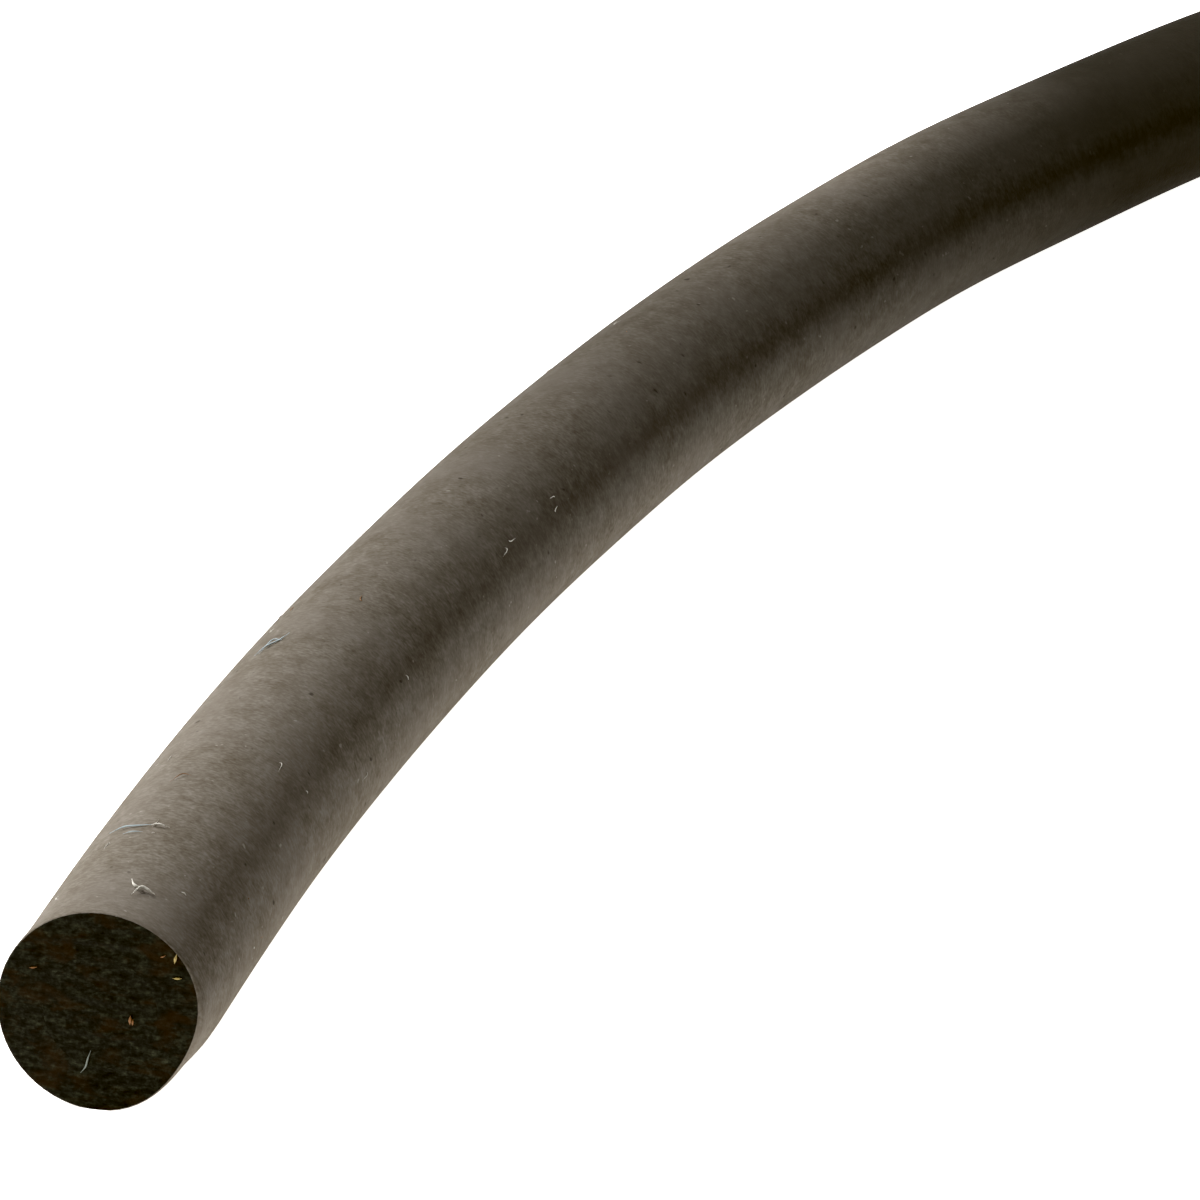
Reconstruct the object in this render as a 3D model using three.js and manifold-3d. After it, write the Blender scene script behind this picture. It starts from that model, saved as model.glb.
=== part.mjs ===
// A quarter-inch soaker hose, put away as it is stored: one free stretch with a closed dead end lies
// beside a tied round coil, and the inlet swivel fitting rests on top of the coil.
// Millimetres, +Z up. The origin is at the centre of the footprint, on the surface it stands on.

import * as THREE from 'three';
import { mergeVertices } from 'three/addons/utils/BufferGeometryUtils.js';
import Module from 'manifold-3d';

const wasm = await Module();
wasm.setup();

const GAP = 0.3; // between any two pieces that touch

// The hose itself
const HOSE_DIAMETER = 6.35;
const HOSE_RADIUS = HOSE_DIAMETER / 2;
const BORE_RADIUS = 1.8;
const HOSE_SIDES = 12;
const LEAD_STEPS = 48;
const TAIL_STEPS = 44;

// The coil: square-packed turns, whose outer shape is a ring
const COIL_CENTRE = [24.35, 0];
const TURN_PITCH = 6.5;
const COIL_COLUMNS = 5;
const COIL_LAYERS = 5;
const COIL_MEAN_RADIUS = 51.2;
const COIL_WIDTH = COIL_COLUMNS * TURN_PITCH;
const COIL_HEIGHT = COIL_LAYERS * TURN_PITCH;
const COIL_SEGMENTS = 72;

// The dead-end plug, which fills the bore and is cut off flush with the hose
const PLUG_RADIUS = 1.45;
const PLUG_LENGTH = 11;
const PLUG_STEPS = 6;

// The ties round the coil's bundle
const TIE_ANGLES_DEG = [45, 155, 225, 315];
const TIE_WIDTH = 4.8;
const TIE_THICKNESS = 1.1;
const TIE_CORNER = 2.6;
const TIE_HEAD = { height: 7.4, depth: 4.4 };
const TIE_TAIL = { length: 9, lift: 3.2 };

// The inlet fitting, along its own axis: zero at the nut's back face, positive towards the tap
const FITTING_Y = -8;
const NUT = {
  length: 19, rib: 15.9, valley: 15, ribs: 18, backWall: 2.6, neckHole: 6.8, mouthChamfer: 0.8,
};
// Each rib's corners, as a share of the rib's step round the nut
const RIB_CORNERS = [[0.06, NUT.rib], [0.44, NUT.rib], [0.6, NUT.valley], [0.9, NUT.valley]];
// The garden-hose thread inside the nut, whose ridge fades in and out at its two ends
const THREAD = {
  major: 13.5, minor: 12.35, pitch: 2.209, start: 9, turns: 4, stepsPerTurn: 24, fadeSteps: 8,
  rootDepth: 0.3, rootHalf: 0.95, crestHalf: 0.3, leastShare: 0.3,
};
const TAILPIECE = {
  flangeRadius: 11.8, flangeThickness: 2, neckRadius: 6.4, neckLength: 3, shoulderLength: 2,
  shoulderRadius: 3.5, stemRadius: 1.45, barbRadius: 1.62, barbs: 3, barbPitch: 3.2,
  barbCrest: 0.75, barbBack: 0.78, barbRoot: 0.1, tipTaper: 0.2,
  stemLength: 11, boreRadius: 0.85, funnelRadius: 4.5, funnelDepth: 1.4,
};
const WASHER = { outer: 11.8, inner: 7.5, thickness: 3 };
const FLOW_DISC = { radius: 7.1, thickness: 1, orifice: 0.75 };
const SCREEN = {
  radius: 7.1, sheet: 0.4, rise: 1.1, hole: 0.45, rings: [1, 6, 12], ringStep: 2,
  shoulder: { under: 0.55, over: 0.58, rise: 0.75 }, brim: { under: 0.86, over: 0.9 },
};
const CLAMP = {
  inner: 3.5, thickness: 0.6, width: 5.5, offset: 3, earWidth: 3.4, earHeight: 2, earTaper: 0.4,
};
const ROUND = 36; // segments of a round part of the fitting
const SMALL_ROUND = 24; // and of the thin pieces inside it
const PAST = 1; // how far a cutting body runs past the face it opens

const FLANGE_BACK = NUT.backWall + GAP;
const FLANGE_FRONT = FLANGE_BACK + TAILPIECE.flangeThickness;
const WASHER_BACK = FLANGE_FRONT + GAP;
const HOSE_END = -(TAILPIECE.neckLength + TAILPIECE.shoulderLength + GAP);
const FITTING_X = COIL_CENTRE[0] + COIL_MEAN_RADIUS;
const FITTING_Z = COIL_HEIGHT + 0.4 + NUT.rib;

// The free stretch, from the dead end to where it becomes the coil's lowest outer turn
const LEAD_ROUTE = [
  [-88.75, -45.3], [-86.85, -37.9], [-84.95, -31.2], [-82.75, -24.4], [-80.25, -17.5],
  [-77.75, -11.2], [-75.0, -5.0], [-71.65, 1.9], [-68.25, 8.05], [-64.65, 13.95],
  [-60.85, 19.6], [-56.25, 25.3], [-47.2, 35.3], [-36.15, 44.5], [-24.05, 52.1],
  [-10.85, 58.0], [2.95, 61.9], [13.55, 63.6], [24.35, 64.2],
].map(([x, y]) => new THREE.Vector3(x, y, HOSE_RADIUS));

// The stretch that leaves the top of the coil, lies round on it and lifts into the inlet fitting
const TAIL_ROUTE = [
  [-13.7, 10.4, 36.0], [-11.2, 23.1, 36.0], [-3.4, 38.1, 36.0], [8.5, 49.3, 36.2],
  [23.1, 55.2, 37.6], [38.7, 55.0, 40.4], [53.2, 48.9, 43.6], [65.1, 37.5, 46.5],
  [72.9, 23.1, 48.2], [75.3, 12.0, 48.8], [75.55, 5.0, 48.8],
  [FITTING_X, FITTING_Y - HOSE_END, FITTING_Z],
].map(([x, y, z]) => new THREE.Vector3(x, y, z));

// A geometry's position alone, with shared vertices merged and faces that point out
function welded(geometry) {
  const bare = new THREE.BufferGeometry();
  bare.setAttribute('position', geometry.getAttribute('position').clone());
  bare.setIndex(geometry.index ? geometry.index.clone() : null);
  const merged = mergeVertices(bare, 1e-4);
  const corner = merged.index.array;
  const point = merged.getAttribute('position');
  const kept = [];
  let volume = 0;
  const a = new THREE.Vector3();
  const b = new THREE.Vector3();
  const c = new THREE.Vector3();
  for (let i = 0; i < corner.length; i += 3) {
    const [p, q, r] = [corner[i], corner[i + 1], corner[i + 2]];
    if (p === q || q === r || r === p) continue;
    kept.push(p, q, r);
    a.fromBufferAttribute(point, p);
    b.fromBufferAttribute(point, q);
    c.fromBufferAttribute(point, r);
    volume += a.dot(b.cross(c));
  }
  if (volume < 0) kept.reverse();
  merged.setIndex(kept);
  return merged;
}

function toSolid(geometry) {
  const merged = welded(geometry);
  return new wasm.Manifold(new wasm.Mesh({
    numProp: 3,
    vertProperties: new Float32Array(merged.getAttribute('position').array),
    triVerts: new Uint32Array(merged.index.array),
  }));
}

function toGeometry(solid) {
  const mesh = solid.getMesh();
  const geometry = new THREE.BufferGeometry();
  geometry.setAttribute('position', new THREE.BufferAttribute(mesh.vertProperties, 3));
  geometry.setIndex(new THREE.BufferAttribute(mesh.triVerts, 1));
  return geometry;
}

// The corners of a regular polygon, on the circle of the given radius
function ringPoints(radius, sides) {
  return Array.from({ length: sides }, (_, i) => {
    const angle = (2 * Math.PI * i) / sides;
    return new THREE.Vector2(radius * Math.cos(angle), radius * Math.sin(angle));
  });
}

function sweep(curve, outer, inner, steps) {
  const section = new THREE.Shape(ringPoints(outer, HOSE_SIDES));
  if (inner > 0) section.holes.push(new THREE.Path(ringPoints(inner, HOSE_SIDES)));
  return new THREE.ExtrudeGeometry(section, { steps, extrudePath: curve, bevelEnabled: false });
}

// A body of revolution about Z, from [radius, height] corners
function turned(profile, segments = ROUND) {
  const points = profile.map(([radius, height]) => new THREE.Vector2(radius, height));
  const geometry = new THREE.LatheGeometry(points, segments);
  geometry.rotateX(Math.PI / 2);
  return welded(geometry);
}

function turnedRing(inner, outer, bottom, top, segments = ROUND) {
  return turned([[inner, bottom], [outer, bottom], [outer, top], [inner, top], [inner, bottom]], segments);
}

function roundedRectangle(PathType, left, bottom, right, top, corner) {
  const path = new PathType();
  path.moveTo(left + corner, bottom);
  path.lineTo(right - corner, bottom);
  path.absarc(right - corner, bottom + corner, corner, -Math.PI / 2, 0, false);
  path.lineTo(right, top - corner);
  path.absarc(right - corner, top - corner, corner, 0, Math.PI / 2, false);
  path.lineTo(left + corner, top);
  path.absarc(left + corner, top - corner, corner, Math.PI / 2, Math.PI, false);
  path.lineTo(left, bottom + corner);
  path.absarc(left + corner, bottom + corner, corner, Math.PI, 1.5 * Math.PI, false);
  return path;
}

// Turns an outline in (radial, up) into a slice of the given width at an angle round the coil
function placeAcrossBundle(geometry, width, angle) {
  geometry.translate(0, 0, -width / 2);
  geometry.rotateX(Math.PI / 2);
  geometry.rotateZ(angle);
  geometry.translate(COIL_CENTRE[0], COIL_CENTRE[1], 0);
  return geometry;
}

const material = (color, roughness, metalness) =>
  new THREE.MeshStandardMaterial({ color, roughness, metalness });

const porousRubber = material(0x4a4640, 0.85, 0);
const sealRubber = material(0x23211f, 0.8, 0);
const blackNylon = material(0x1d1f20, 0.55, 0);
const naturalNylon = material(0xd9d6c8, 0.45, 0);
const brass = material(0xb08d45, 0.35, 1);
const steel = material(0xb4b6b8, 0.3, 1);
const acetal = material(0xe6e3da, 0.4, 0);

function named(name, geometry, look) {
  const mesh = new THREE.Mesh(welded(geometry), look);
  mesh.name = name;
  return mesh;
}

const leadCurve = new THREE.CatmullRomCurve3(LEAD_ROUTE, false, 'centripetal');
const tailCurve = new THREE.CatmullRomCurve3(TAIL_ROUTE, false, 'centripetal');

function hoseLead() {
  return named('hose_lead', sweep(leadCurve, HOSE_RADIUS, BORE_RADIUS, LEAD_STEPS), porousRubber);
}

function hoseTail() {
  return named('hose_tail', sweep(tailCurve, HOSE_RADIUS, BORE_RADIUS, TAIL_STEPS), porousRubber);
}

// A solid plug that follows the first few millimetres of the lead's bore
function deadEndPlug() {
  const share = PLUG_LENGTH / leadCurve.getLength();
  const points = Array.from({ length: PLUG_STEPS }, (_, i) =>
    leadCurve.getPointAt((share * i) / (PLUG_STEPS - 1)));
  const curve = new THREE.CatmullRomCurve3(points, false, 'centripetal');
  return named('dead_end_plug', sweep(curve, PLUG_RADIUS, 0, PLUG_STEPS), porousRubber);
}

function tieOutline(inset, corner) {
  const half = COIL_WIDTH / 2 - inset;
  return [
    COIL_MEAN_RADIUS - half, inset, COIL_MEAN_RADIUS + half, COIL_HEIGHT - inset, corner,
  ];
}

// The room that a tie takes out of the coil's ring
function tieGroove(angle) {
  const around = new THREE.Shape(ringCorners(2 * GAP));
  const inset = TIE_THICKNESS + GAP;
  around.holes.push(roundedRectangle(THREE.Path, ...tieOutline(inset, TIE_CORNER)));
  const width = TIE_WIDTH + 2 * GAP;
  const slice = new THREE.ExtrudeGeometry(around, { depth: width, bevelEnabled: false, curveSegments: 4 });
  return toSolid(placeAcrossBundle(slice, width, angle));
}

// A plain rectangle that stands the given distance outside the bundle
function ringCorners(outside) {
  const [left, bottom, right, top] = tieOutline(-outside, 0);
  return [[left, bottom], [right, bottom], [right, top], [left, top]].map(
    ([x, y]) => new THREE.Vector2(x, y));
}

function hoseCoil() {
  const bevel = TURN_PITCH / 2;
  const half = COIL_WIDTH / 2;
  const [inner, outer] = [COIL_MEAN_RADIUS - half, COIL_MEAN_RADIUS + half];
  const ring = turned([
    [inner + bevel, 0], [outer - bevel, 0], [outer, bevel], [outer, COIL_HEIGHT - bevel],
    [outer - bevel, COIL_HEIGHT], [inner + bevel, COIL_HEIGHT], [inner, COIL_HEIGHT - bevel],
    [inner, bevel], [inner + bevel, 0],
  ], COIL_SEGMENTS);
  ring.translate(COIL_CENTRE[0], COIL_CENTRE[1], 0);
  let solid = toSolid(ring);
  for (const degrees of TIE_ANGLES_DEG) {
    solid = solid.subtract(tieGroove(THREE.MathUtils.degToRad(degrees)));
  }
  const past = LEAD_ROUTE.at(-1).clone().add(new THREE.Vector3(GAP, 0, 0));
  const route = new THREE.CatmullRomCurve3([...LEAD_ROUTE.slice(0, -1), past], false, 'centripetal');
  const clearance = (HOSE_RADIUS + GAP) / Math.cos(Math.PI / HOSE_SIDES);
  solid = solid.subtract(toSolid(sweep(route, clearance, 0, LEAD_STEPS)));
  return named('hose_coil', toGeometry(solid), porousRubber);
}

// A cable tie: a strap round the bundle, with its head and its loose end on the outside
function coilTie(index, angle) {
  const strap = new THREE.ExtrudeGeometry(tieStrapShape(), {
    depth: TIE_WIDTH, bevelEnabled: false, curveSegments: 5,
  });
  return named(`coil_tie_${index + 1}`, placeAcrossBundle(strap, TIE_WIDTH, angle), naturalNylon);
}

function tieStrapShape() {
  const [left, bottom, right, top, corner] = tieOutline(0, TIE_CORNER + TIE_THICKNESS);
  const middle = COIL_HEIGHT / 2;
  const headTop = middle + TIE_HEAD.height / 2;
  const headBottom = middle - TIE_HEAD.height / 2;
  const headFront = right + TIE_HEAD.depth;
  const tailRoot = headFront - TIE_HEAD.depth / 2;
  const shape = new THREE.Shape();
  shape.moveTo(left + corner, bottom);
  shape.lineTo(right - corner, bottom);
  shape.absarc(right - corner, bottom + corner, corner, -Math.PI / 2, 0, false);
  shape.lineTo(right, headBottom);
  shape.lineTo(headFront, headBottom);
  shape.lineTo(headFront, headTop);
  shape.lineTo(tailRoot + TIE_THICKNESS, headTop);
  shape.lineTo(tailRoot + TIE_THICKNESS + TIE_TAIL.lift / 2, headTop + TIE_TAIL.length);
  shape.lineTo(tailRoot + TIE_TAIL.lift / 2, headTop + TIE_TAIL.length);
  shape.lineTo(tailRoot, headTop);
  shape.lineTo(right, headTop);
  shape.lineTo(right, top - corner);
  shape.absarc(right - corner, top - corner, corner, 0, Math.PI / 2, false);
  shape.lineTo(left + corner, top);
  shape.absarc(left + corner, top - corner, corner, Math.PI / 2, Math.PI, false);
  shape.lineTo(left, bottom + corner);
  shape.absarc(left + corner, bottom + corner, corner, Math.PI, 1.5 * Math.PI, false);
  shape.holes.push(roundedRectangle(THREE.Path, ...tieOutline(TIE_THICKNESS, TIE_CORNER)));
  return shape;
}

// The inlet fitting's pieces stand on their own axis here, and one group lays them down
function threadRidge() {
  const { rootHalf, crestHalf, fadeSteps, leastShare } = THREAD;
  const steps = THREAD.turns * THREAD.stepsPerTurn;
  const root = THREAD.major + THREAD.rootDepth;
  const positions = [];
  const faces = [];
  for (let i = 0; i <= steps; i += 1) {
    const angle = (2 * Math.PI * i) / THREAD.stepsPerTurn;
    const height = THREAD.start + (THREAD.pitch * i) / THREAD.stepsPerTurn;
    const fade = Math.min(1, i / fadeSteps, (steps - i) / fadeSteps);
    const crest = root - (root - THREAD.minor) * Math.max(fade, leastShare);
    const corners = [[root, -rootHalf], [crest, -crestHalf], [crest, crestHalf], [root, rootHalf]];
    for (const [radius, lift] of corners) {
      positions.push(radius * Math.cos(angle), radius * Math.sin(angle), height + lift);
    }
  }
  for (let i = 0; i < steps; i += 1) {
    for (let k = 0; k < 4; k += 1) {
      const a = 4 * i + k;
      const b = 4 * i + ((k + 1) % 4);
      faces.push(a, b, b + 4, a, b + 4, a + 4);
    }
  }
  const last = 4 * steps;
  faces.push(0, 2, 1, 0, 3, 2, last, last + 1, last + 2, last, last + 2, last + 3);
  const ridge = new THREE.BufferGeometry();
  ridge.setAttribute('position', new THREE.Float32BufferAttribute(positions, 3));
  ridge.setIndex(faces);
  return ridge;
}

function nutOutline() {
  const points = [];
  for (let i = 0; i < NUT.ribs; i += 1) {
    for (const [share, radius] of RIB_CORNERS) {
      const angle = (2 * Math.PI * (i + share)) / NUT.ribs;
      points.push(new THREE.Vector2(radius * Math.cos(angle), radius * Math.sin(angle)));
    }
  }
  return new THREE.Shape(points);
}

function swivelNut() {
  const outer = new THREE.ExtrudeGeometry(nutOutline(), { depth: NUT.length, bevelEnabled: false });
  const mouth = turned([
    [0, NUT.backWall], [THREAD.major, NUT.backWall], [THREAD.major, NUT.length - NUT.mouthChamfer],
    [THREAD.major + NUT.mouthChamfer, NUT.length + PAST], [0, NUT.length + PAST],
  ]);
  const neckHole = turned([
    [0, -PAST], [NUT.neckHole, -PAST], [NUT.neckHole, NUT.backWall + PAST], [0, NUT.backWall + PAST],
  ]);
  const shell = toSolid(outer).subtract(toSolid(mouth)).subtract(toSolid(neckHole));
  return named('swivel_nut', toGeometry(shell.add(toSolid(threadRidge()))), blackNylon);
}

function barbTailpiece() {
  const t = TAILPIECE;
  const shoulder = -t.neckLength - t.shoulderLength;
  const tip = shoulder - t.stemLength;
  const profile = [[t.boreRadius, tip], [t.stemRadius - t.tipTaper, tip]];
  for (let i = 0; i < t.barbs; i += 1) {
    const start = tip + i * t.barbPitch;
    profile.push([t.barbRadius, start + t.barbCrest * t.barbPitch]);
    profile.push([t.stemRadius - t.barbRoot, start + t.barbBack * t.barbPitch]);
  }
  profile.push(
    [t.stemRadius, shoulder], [t.shoulderRadius, shoulder], [t.neckRadius, -t.neckLength],
    [t.neckRadius, FLANGE_BACK], [t.flangeRadius, FLANGE_BACK], [t.flangeRadius, FLANGE_FRONT],
    [t.funnelRadius, FLANGE_FRONT], [t.boreRadius, FLANGE_FRONT - t.funnelDepth], [t.boreRadius, tip],
  );
  return named('barb_tailpiece', turned(profile), brass);
}

function inletWasher() {
  const ring = turnedRing(WASHER.inner, WASHER.outer, WASHER_BACK, WASHER_BACK + WASHER.thickness);
  return named('inlet_washer', ring, sealRubber);
}

function flowDisc() {
  const top = WASHER_BACK + FLOW_DISC.thickness;
  const disc = turnedRing(FLOW_DISC.orifice, FLOW_DISC.radius, WASHER_BACK, top, SMALL_ROUND);
  return named('flow_disc', disc, acetal);
}

// A domed sheet with rings of round holes
function filterScreen() {
  const base = WASHER_BACK + FLOW_DISC.thickness + GAP;
  const { radius, sheet, rise, shoulder, brim } = SCREEN;
  const bend = base + rise * shoulder.rise;
  const shell = turned([
    [0, base + rise - sheet], [radius * shoulder.under, bend - sheet], [radius * brim.under, base],
    [radius, base], [radius, base + sheet], [radius * brim.over, base + sheet],
    [radius * shoulder.over, bend], [0, base + rise],
  ], SMALL_ROUND);
  let solid = toSolid(shell);
  SCREEN.rings.forEach((count, ring) => {
    for (let i = 0; i < count; i += 1) {
      const angle = (2 * Math.PI * i) / count;
      const hole = new THREE.CylinderGeometry(SCREEN.hole, SCREEN.hole, 4 * rise, 8);
      hole.rotateX(Math.PI / 2);
      const reach = ring * SCREEN.ringStep;
      hole.translate(reach * Math.cos(angle), reach * Math.sin(angle), base);
      solid = solid.subtract(toSolid(hole));
    }
  });
  return named('filter_screen', toGeometry(solid), steel);
}

// A one-ear pinch clamp round the hose where it covers the barbs
function pinchClamp() {
  const { inner, thickness, width, offset, earWidth, earHeight, earTaper } = CLAMP;
  const outer = inner + thickness;
  const reach = Math.asin(earWidth / 2 / outer);
  const shape = new THREE.Shape();
  shape.absarc(0, 0, outer, Math.PI / 2 + reach, Math.PI / 2 - reach + 2 * Math.PI, false);
  shape.lineTo(earWidth / 2 - earTaper, outer + earHeight);
  shape.lineTo(earTaper - earWidth / 2, outer + earHeight);
  shape.closePath();
  const hole = new THREE.Path();
  hole.absarc(0, 0, inner, 0, 2 * Math.PI, false);
  shape.holes.push(hole);
  const band = new THREE.ExtrudeGeometry(shape, { depth: width, bevelEnabled: false, curveSegments: 14 });
  band.translate(0, 0, HOSE_END - offset - width);
  return named('pinch_clamp', band, steel);
}

function inletFitting() {
  const fitting = new THREE.Group();
  fitting.add(
    barbTailpiece(), swivelNut(), inletWasher(), flowDisc(), filterScreen(), pinchClamp());
  fitting.rotation.x = Math.PI / 2;
  fitting.position.set(FITTING_X, FITTING_Y, FITTING_Z);
  return fitting;
}

const soakerHose = new THREE.Group();
soakerHose.add(hoseLead(), deadEndPlug(), hoseCoil(), hoseTail());
TIE_ANGLES_DEG.forEach((degrees, index) => {
  soakerHose.add(coilTie(index, THREE.MathUtils.degToRad(degrees)));
});
soakerHose.add(inletFitting());

export default soakerHose;
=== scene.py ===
"""A slim soaker hose: its free stretch with the dead end, its tied coil and its inlet fitting."""
import math
import random

import bmesh
import bpy
import numpy as np
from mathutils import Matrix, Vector


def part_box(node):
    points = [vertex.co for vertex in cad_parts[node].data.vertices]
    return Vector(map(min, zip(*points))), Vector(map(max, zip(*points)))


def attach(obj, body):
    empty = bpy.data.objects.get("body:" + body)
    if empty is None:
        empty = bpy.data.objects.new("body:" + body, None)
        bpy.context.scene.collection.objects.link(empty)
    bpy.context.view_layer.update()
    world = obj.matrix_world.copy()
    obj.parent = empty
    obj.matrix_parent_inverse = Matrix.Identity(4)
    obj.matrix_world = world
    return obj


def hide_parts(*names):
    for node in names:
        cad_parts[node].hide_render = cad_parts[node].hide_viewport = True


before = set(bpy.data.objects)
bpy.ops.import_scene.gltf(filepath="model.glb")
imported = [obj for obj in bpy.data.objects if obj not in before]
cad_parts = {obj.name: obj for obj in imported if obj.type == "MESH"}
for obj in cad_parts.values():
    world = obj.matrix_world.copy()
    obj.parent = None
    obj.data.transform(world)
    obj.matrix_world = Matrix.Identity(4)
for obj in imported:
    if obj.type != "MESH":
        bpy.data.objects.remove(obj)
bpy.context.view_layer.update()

MM = 0.001

# ---- places and sizes, from the frame
coil_low, coil_high = (np.array(c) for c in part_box("hose_coil"))
lead_low, lead_high = (np.array(c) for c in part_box("hose_lead"))
nut_low, nut_high = (np.array(c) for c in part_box("swivel_nut"))

COIL_CENTRE = (coil_low + coil_high) / 2
HOSE_DIAMETER = 6.35 * MM
HOSE_RADIUS = HOSE_DIAMETER / 2
BORE_RADIUS = 1.8 * MM
PITCH = 6.5 * MM
COLUMNS = 5
LAYERS = 5
COIL_MEAN_RADIUS = (coil_high[0] - coil_low[0] - COLUMNS * PITCH) / 2
COIL_HEIGHT = LAYERS * PITCH
TIE_ANGLES_DEG = [45, 155, 225, 315]
TIE_WIDTH = 4.8 * MM
TIE_THICKNESS = 1.1 * MM
TIE_CORNER = 2.6 * MM
FITTING_ORIGIN = np.array([
    (nut_low[0] + nut_high[0]) / 2, nut_high[1], (nut_low[2] + nut_high[2]) / 2,
])

# The free stretch, from the dead end to where it becomes the coil's lowest outer turn
LEAD_ROUTE = np.array([
    (-88.75, -45.3), (-86.85, -37.9), (-84.95, -31.2), (-82.75, -24.4), (-80.25, -17.5),
    (-77.75, -11.2), (-75.0, -5.0), (-71.65, 1.9), (-68.25, 8.05), (-64.65, 13.95),
    (-60.85, 19.6), (-56.25, 25.3), (-47.2, 35.3), (-36.15, 44.5), (-24.05, 52.1),
    (-10.85, 58.0), (2.95, 61.9), (13.55, 63.6), (24.35, 64.2),
]) * MM
LEAD_ROUTE = np.column_stack([LEAD_ROUTE, np.full(len(LEAD_ROUTE), HOSE_RADIUS)])

# The stretch that leaves the top of the coil, lies round on it and lifts into the inlet fitting
TAIL_ROUTE = np.array([
    (-13.7, 10.4, 36.0), (-11.2, 23.1, 36.0), (-3.4, 38.1, 36.0), (8.5, 49.3, 36.2),
    (23.1, 55.2, 37.6), (38.7, 55.0, 40.4), (53.2, 48.9, 43.6), (65.1, 37.5, 46.5),
    (72.9, 23.1, 48.2), (75.3, 12.0, 48.8), (75.55, 5.0, 48.8), (75.55, -2.7, 48.8),
]) * MM

# ---- camera
CAMERA_PITCH_DEG = 25.0
CAMERA_X = -73.65 * MM
CAMERA_BACK = 172.57 * MM  # from the dead end's face, along the floor
CAMERA_HEIGHT = 97.4 * MM
SENSOR_MM = 36.0
LENS_MM = 194.8


def make_camera():
    data = bpy.data.cameras.new("camera")
    data.sensor_width = SENSOR_MM
    data.lens = LENS_MM
    data.clip_start = 0.01
    data.clip_end = 20
    camera = bpy.data.objects.new("camera", data)
    bpy.context.collection.objects.link(camera)
    camera.location = (CAMERA_X, LEAD_ROUTE[0][1] - CAMERA_BACK, CAMERA_HEIGHT)
    camera.rotation_euler = (math.radians(90 - CAMERA_PITCH_DEG), 0, 0)
    bpy.context.scene.camera = camera


make_camera()


# ---- the hose's path
def catmull_rom(points, per_span):
    """A centripetal Catmull-Rom curve through the points, as the CAD source draws it."""
    before = points[0] - (points[1] - points[0])
    after = points[-1] + (points[-1] - points[-2])
    control = np.vstack([before, points, after])
    made = []
    for p0, p1, p2, p3 in zip(control, control[1:], control[2:], control[3:]):
        knots = [0.0]
        for a, b in ((p0, p1), (p1, p2), (p2, p3)):
            knots.append(knots[-1] + math.sqrt(np.linalg.norm(b - a)))
        t0, t1, t2, t3 = knots
        t = np.linspace(t1, t2, per_span, endpoint=False)[:, None]
        a1 = (t1 - t) / (t1 - t0) * p0 + (t - t0) / (t1 - t0) * p1
        a2 = (t2 - t) / (t2 - t1) * p1 + (t - t1) / (t2 - t1) * p2
        a3 = (t3 - t) / (t3 - t2) * p2 + (t - t2) / (t3 - t2) * p3
        b1 = (t2 - t) / (t2 - t0) * a1 + (t - t0) / (t2 - t0) * a2
        b2 = (t3 - t) / (t3 - t1) * a2 + (t - t1) / (t3 - t1) * a3
        made.append((t2 - t) / (t2 - t1) * b1 + (t - t1) / (t2 - t1) * b2)
    return np.vstack([*made, points[-1:]])


def lengths(line):
    return np.concatenate([[0], np.cumsum(np.linalg.norm(np.diff(line, axis=0), axis=1))])


def resampled(line, places):
    at = lengths(line)
    return np.column_stack([np.interp(places, at, line[:, k]) for k in range(3)])


ZONE_HALF_DEG = 45
ZONES_DEG = {"rise_outside": 45, "step_out": 135, "rise_inside": 225, "step_in": 315}
LEAVING_DEG = (-39, 15)  # the last rise, past the tie there, against the end of its quarter
TURNS_END_DEG = 10  # where the winding's own points end and the tail takes over
DRIFT_DEG = (-30, 5)  # over this stretch the last turn drifts out to the tail, against its end
SETTLE = 0.07 * MM  # how far the turns lie off their exact places


def winding_steps():
    """Where each shift of the winding starts and ends, in degrees travelled round the coil, with its
    change of column and of layer. Four quarters of the circle keep the four kinds of shift apart."""
    steps, done, inward = [], 0, True

    def step(zone, column, layer):
        nonlocal done
        base = ZONES_DEG[zone]
        centre = base + 360 * math.ceil((done + ZONE_HALF_DEG - base) / 360)
        done = centre + ZONE_HALF_DEG
        steps.append((centre - ZONE_HALF_DEG, done, column, layer))

    for _ in range(LAYERS):
        for _ in range(COLUMNS - 1):
            step("step_in" if inward else "step_out", -1 if inward else 1, 0)
        step("rise_inside" if inward else "rise_outside", 0, 1)
        inward = not inward
    steps[-1] = (done + LEAVING_DEG[0], done + LEAVING_DEG[1], 0, 1)
    return steps, done + TURNS_END_DEG


def eased(share):
    """A share from 0 to 1 that starts and stops softly."""
    return 0.5 - 0.5 * np.cos(math.pi * np.clip(share, 0, 1))


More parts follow.
